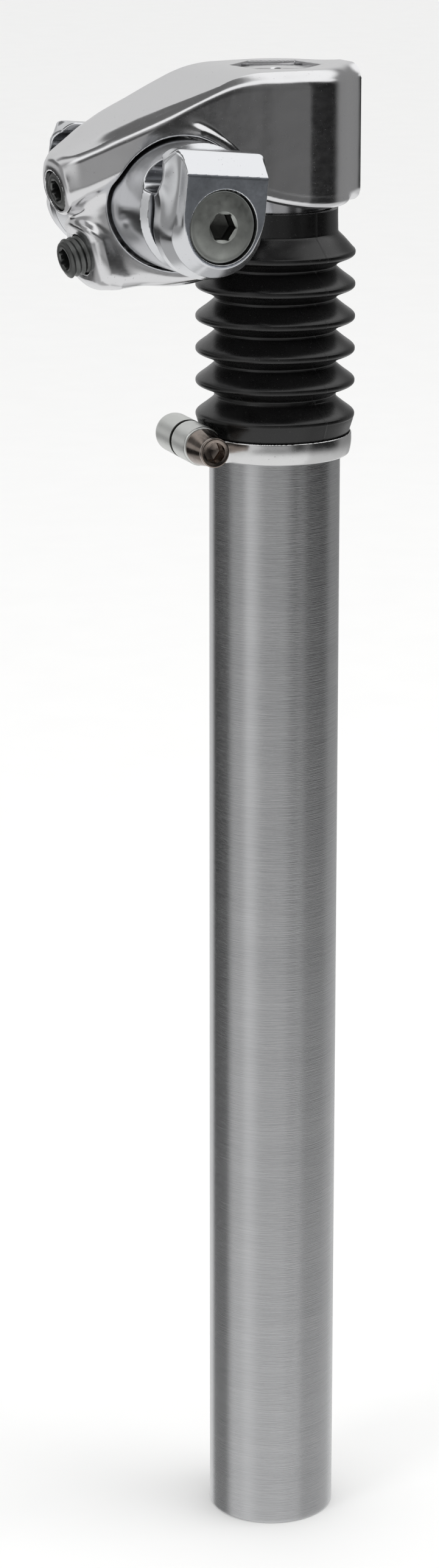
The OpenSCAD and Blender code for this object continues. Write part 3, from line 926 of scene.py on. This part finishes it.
BOLT_FACE, BOLT_FLAT = 31.1, 2.5  # height of the head's face over the post's middle, half the socket
THREAD_PITCH = 1.25


def bolt_head_profile():
    """Flush head with a hexagon socket, from the bottom of the socket outwards."""
    depth, r = 3.2, 7.1
    return [
        (0, BOLT_FACE - depth - 0.7),
        (BOLT_FLAT * 0.98, BOLT_FACE - depth),
        *[(BOLT_FLAT, z) for z in np.linspace(BOLT_FACE - depth + 0.1, BOLT_FACE - 0.45, 4)],
        (BOLT_FLAT + 0.46, BOLT_FACE - 0.12),
        (BOLT_FLAT + 0.62, BOLT_FACE - 0.01),
        *[(q, BOLT_FACE - 0.45 * ((q - 3) / 3.6) ** 2) for q in np.linspace(3.3, 6.5, 7)],
        *arc((r - 0.45, BOLT_FACE - 0.85), 0.45, 80, 0, 6),
        (r, 27.2),
        (r - 0.2, 27.0),
    ]


def thread_groove(z, angle):
    """0 on the crest of a helical thread, up to 1 at its root."""
    return np.abs((z / THREAD_PITCH - angle / (2 * np.pi)) % 1 - 0.5) * 2


def paint_socket_shade(piece, vertices):
    """Painted shade: near-black steel colour inside the socket of a bolt or nut, told from its vertices
    before they are placed.
    """
    piece.data.materials.append(PAINTED_SHADE_STEEL)
    v = np.asarray(vertices)
    inside = (np.hypot(v[:, 0], v[:, 1]) < BOLT_FLAT + 0.4) & (v[:, 2] > 27.2) & (v[:, 2] < BOLT_FACE - 0.3)
    for face in piece.data.polygons:
        if inside[list(face.vertices)].all():
            face.material_index = 1


def clamp_bolt():
    """Cross bolt, entered from the right, with a threaded end."""
    shank_r, thread_top, thread_depth = 4.0, 2.0, 0.32
    profile = bolt_head_profile() + [(shank_r, 27.0), (shank_r, thread_top)]
    profile += [(shank_r, z) for z in np.arange(thread_top - 0.1, -27.9, -0.14)]
    profile += [(3.3, -28.6), (3.0, -29.0), (0, -29.0)]
    socket = socket_shape(27.3, BOLT_FLAT + 0.02, math.radians(30))

    def shape(r, z, angle):
        r = socket(r, z, angle)
        threaded = (z < thread_top) & (z > -28) & (r > shank_r - 0.1)
        return np.where(threaded, r - thread_depth * thread_groove(z, angle), r)

    vertices, faces = lathe(profile, 96, shape)
    piece = add_mesh("clamp_bolt_finish", moved(vertices, bolt_matrix(RIGHT)), faces, ZINC, sharp_deg=32)
    # painted shade inside the bolt's socket
    paint_socket_shade(piece, vertices)
    return place(piece, "jaw_right", "zinc_steel", "clamp_bolt")


def clamp_nut():
    """Sleeve nut, entered from the left."""
    profile = bolt_head_profile() + [
        (5.2, 27.0),
        (5.2, 12.3),
        (4.9, 12.0),
        (4.3, 12.0),
        (4.03, 12.3),
        (4.03, 26.0),
        (0, 26.4),
    ]
    vertices, faces = lathe(profile, 96, socket_shape(27.3, BOLT_FLAT + 0.02, 0.3))
    placed = moved(vertices, bolt_matrix(LEFT))
    piece = add_mesh("clamp_nut_finish", placed, flipped(faces), ZINC, sharp_deg=32)
    # painted shade inside the nut's socket
    paint_socket_shade(piece, vertices)
    return place(piece, "jaw_left", "zinc_steel", "clamp_nut")


def tilt_screw(name, over, end, socket_turn):
    """Set screw with a helical thread, a hexagon socket and a dog point, at a height over the tilt axis."""
    depth, r, start = 0.42, 3.97, 9.9
    profile = [
        (0, end - 3.6),
        (1.96, end - 3.2),
        *[(2.0, z) for z in np.linspace(end - 3.0, end - 0.3, 4)],
        (2.25, end - 0.06),
        (2.5, end),
        (3.05, end),
        (3.45, end - 0.25),
        *[(r, z) for z in np.arange(end - 0.42, start + 0.5, -0.06)],
        (3.2, start),
        (1.6, start),
        (1.6, 6.7),
        (0.4, 5.5),
        (0, 5.5),
    ]

    socket = socket_shape(end - 3.7, 2.01, socket_turn)

    def shape(radius, z, angle):
        radius = socket(radius, z, angle)
        groove = np.clip(thread_groove(z, angle) * 1.25 - 0.12, 0, 1)
        return np.where(radius > 3.6, radius - depth * groove, radius)

    vertices, faces = lathe(profile, 96, shape)
    c, s = math.cos(SCREW_ANGLE), math.sin(SCREW_ANGLE)
    out, up = np.array([-c, 0, -s]), np.array([-s, 0, c])
    origin = np.array([TILT_X, 0, TILT_Z]) + up * over
    matrix = frame_matrix(origin, up, np.cross(out, up), out)
    return add_mesh(name, moved(vertices, matrix), faces, BLACK_STEEL, sharp_deg=38)


def tilt_screws():
    """The two set screws that set the saddle's tilt."""
    upper = tilt_screw("tilt_screw_upper_finish", SCREW_T, 20.6, 0.2)
    place(upper, "screw_upper", "black_steel", "tilt_screw_upper")
    lower = tilt_screw("tilt_screw_lower_finish", -SCREW_T, 21.8, 0.5)
    place(lower, "screw_lower", "black_steel", "tilt_screw_lower")


# ---------- CAD nodes that keep their shape ----------


def dress_cad_nodes():
    """Materials of the inner pieces, which stay as CAD made them."""
    looks = {
        "stanchion": CHROME,
        "guide_bush": PLASTIC,
        "lower_bush": PLASTIC,
        "upper_spring_seat": PLASTIC,
        "lower_spring_seat": PLASTIC,
        "guide_keys": BRASS,
        "wiper_seal": SEAL,
        "top_out_ring": SEAL,
        "bush_circlip": SPRING_STEEL,
        "bottom_out_bumper": ELASTOMER,
        "guide_rod": CHROME,
        "preload_plug": BORE,
        "tilt_barrel": BARREL_STEEL,
    }
    for node, material in looks.items():
        slots = frame["nodes"][node].data.materials
        slots.clear()
        slots.append(material)


# ---------- stage ----------


def camera():
    """Camera over the post's height, to the rear of its right side, looking down a little."""
    data = bpy.data.cameras.new("camera")
    data.sensor_width, data.lens = 36.0, 91.91
    data.clip_start, data.clip_end = 0.05, 60
    cam = bpy.data.objects.new("camera", data)
    cam.location = (-0.3882, -0.7209, 0.4033)
    cam.rotation_euler = (math.radians(90 - 16.14), 0, math.radians(-27.5))
    bpy.context.scene.collection.objects.link(cam)
    bpy.context.scene.camera = cam


def floor():
    """Pale floor that the post stands on."""
    size = 14.0
    corners = [(-size, -size, 0), (size, -size, 0), (size, size, 0), (-size, size, 0)]
    mesh = bpy.data.meshes.new("floor")
    mesh.from_pydata(corners, [], [(0, 1, 2, 3)])
    mesh.materials.append(floor_paper())
    sheet = bpy.data.objects.new("floor", mesh)
    sheet.visible_glossy = False
    bpy.context.scene.collection.objects.link(sheet)


def softbox(name, location, size, power):
    """Rectangular studio light aimed at the post, seen by no reflection."""
    data = bpy.data.lights.new(name, "AREA")
    data.shape, data.size, data.size_y, data.energy = "RECTANGLE", *size, power
    light = bpy.data.objects.new(name, data)
    light.location = location
    middle_of_post = Vector((0, 0, 0.25))
    light.rotation_euler = (Vector(location) - middle_of_post).to_track_quat("Z", "Y").to_euler()
    light.visible_glossy = False
    bpy.context.scene.collection.objects.link(light)


class Sky:
    """Short calls for the world's node tree, where directions are unit vectors."""

    def __init__(self):
        self.world = bpy.data.worlds.new("studio")
        self.world.use_nodes = True
        self.tree = self.world.node_tree
        coordinates = self.tree.nodes.new("ShaderNodeTexCoord")
        split = self.node("ShaderNodeSeparateXYZ", {0: coordinates.outputs["Generated"]})
        self.x, self.y, self.z = split.outputs

    def node(self, kind, inputs, **settings):
        made = self.tree.nodes.new(kind)
        for key, value in settings.items():
            setattr(made, key, value)
        for key, value in inputs.items():
            if isinstance(value, bpy.types.NodeSocket):
                self.tree.links.new(value, made.inputs[key])
            else:
                made.inputs[key].default_value = value
        return made

    def math(self, operation, a, b=0.0):
        return self.node("ShaderNodeMath", {0: a, 1: b}, operation=operation).outputs[0]

    def degrees(self, up, along):
        """Angle of the point (along, up) round the origin, in degrees."""
        return self.math("MULTIPLY", self.math("ARCTAN2", up, along), 180 / math.pi)

    def both(self, a, b):
        return self.math("MULTIPLY", a, b)

    def above(self, value, edge, soft):
        """Rises smoothly from 0 to 1 round the edge."""
        inputs = {"Value": value, "From Min": edge - soft / 2, "From Max": edge + soft / 2}
        return self.node("ShaderNodeMapRange", inputs, interpolation_type="SMOOTHSTEP").outputs["Result"]

    def below(self, value, edge, soft):
        """Falls smoothly from 1 to 0 round the edge."""
        return self.math("SUBTRACT", 1.0, self.above(value, edge, soft))

    def within(self, value, low, high, soft_low, soft_high):
        """1 between low and high, and 0 outside."""
        return self.both(self.above(value, low, soft_low), self.below(value, high, soft_high))

    def mix(self, share, a, b):
        """a where share is 0, b where it is 1."""
        return self.node("ShaderNodeMix", {0: share, 2: a, 3: b}, data_type="FLOAT").outputs[0]


def studio():
    """White tent with a dark gap on the right and a dark strip overhead, as polished metal shows it.
    Only reflections see the tent: other rays see plain white surroundings."""
    sky = Sky()
    around = sky.degrees(sky.y, sky.x)  # 0 to the bicycle's front, -90 to its right, 90 to its left
    height = sky.math("MULTIPLY", sky.math("ARCSINE", sky.z), 180 / math.pi)
    over = sky.degrees(sky.y, sky.z)  # 0 overhead, -90 to the right, 90 to the left

    # at the horizon, from the rear left round by the right side to the front and the left
    level = sky.mix(sky.above(around, -171, 16), 0.28, 0.66)
    level = sky.mix(sky.above(around, -140, 26), level, 0.34)
    level = sky.mix(sky.above(around, -93, 14), level, 0.02)
    level = sky.mix(sky.within(around, -73, -63, 9, 6), level, 0.145)
    level = sky.mix(sky.above(around, -62, 6), level, 0.006)
    level = sky.mix(sky.above(around, -9, 18), level, 0.24)
    level = sky.mix(sky.above(around, 48, 16), level, 0.64)
    level = sky.mix(sky.above(around, 142, 20), level, 0.28)

    # right and rear: darker just under the horizon, and again over it
    gap = sky.both(sky.within(around, -150, -96, 24, 8), sky.within(height, -23, -10, 7, 6))
    level = sky.mix(gap, level, 0.16)
    over_gap = sky.both(sky.within(around, -150, -94, 24, 8), sky.within(height, 7, 27, 8, 8))
    level = sky.mix(over_gap, level, 0.07)

    # far left: dark bands below and above a light one
    far_left = sky.within(around, 104, 156, 14, 18)
    bands = sky.mix(sky.above(height, -24, 8), 0.42, 0.03)
    bands = sky.mix(sky.above(height, -6, 7), bands, 0.50)
    bands = sky.mix(sky.above(height, 9, 8), bands, 0.13)
    level = sky.mix(far_left, level, bands)

    # overhead: a ceiling, a white softbox in front of it and on the right, and a dark strip
    front_left = sky.within(around, -9, 48, 8, 8)
    right_box = sky.both(sky.within(over, -47, -10, 7, 20), sky.above(height, 20, 10))
    front_box = sky.both(sky.above(sky.x, 0.29, 0.14), sky.above(height, 34, 9))
    front_box = sky.both(front_box, sky.above(over, -47, 7))
    strip = sky.both(sky.within(over, -23, 47, 7, 9), sky.within(sky.x, -0.55, 0.27, 0.2, 0.16))
    ceiling = sky.mix(sky.above(height, 30, 12), level, sky.mix(front_left, 0.72, 0.9))
    level = sky.mix(sky.below(over, -47, 7), ceiling, level)
    level = sky.mix(right_box, level, 1.0)
    level = sky.mix(front_box, level, 1.05)
    level = sky.mix(strip, level, 0.13)

    # the floor, bright from a little below the horizon, with a dark band before it
    near_floor = sky.mix(sky.within(around, -62, 20, 8, 20), 0.82, 0.62)
    near_floor = sky.mix(far_left, near_floor, level)
    level = sky.mix(sky.below(height, -19, 17), level, near_floor)

    reflected = sky.tree.nodes.new("ShaderNodeLightPath").outputs["Is Glossy Ray"]
    background = sky.tree.nodes["Background"]
    sky.tree.links.new(sky.mix(reflected, 1.02, level), background.inputs["Strength"])
    background.inputs["Color"].default_value = (1.0, 1.0, 1.0, 1)
    bpy.context.scene.world = sky.world
    bpy.context.scene.view_settings.view_transform = "Standard"
    softbox("rear_light", (-1.5, -0.5, 0.9), (0.5, 1.2), 5)
    softbox("top_light", (0.7, -0.5, 1.5), (0.9, 0.9), 6)


camera()
floor()
studio()
outer_tube()
pinch_collar()
collar_screw()
rubber_boot()
main_spring()
head()
crown_plug()
for clamp_side, clamp_body in ((RIGHT, "jaw_right"), (LEFT, "jaw_left")):
    outer_clamp(clamp_side, clamp_body)
    inner_clamp(clamp_side)
clamp_bolt()
clamp_nut()
tilt_screws()
dress_cad_nodes()
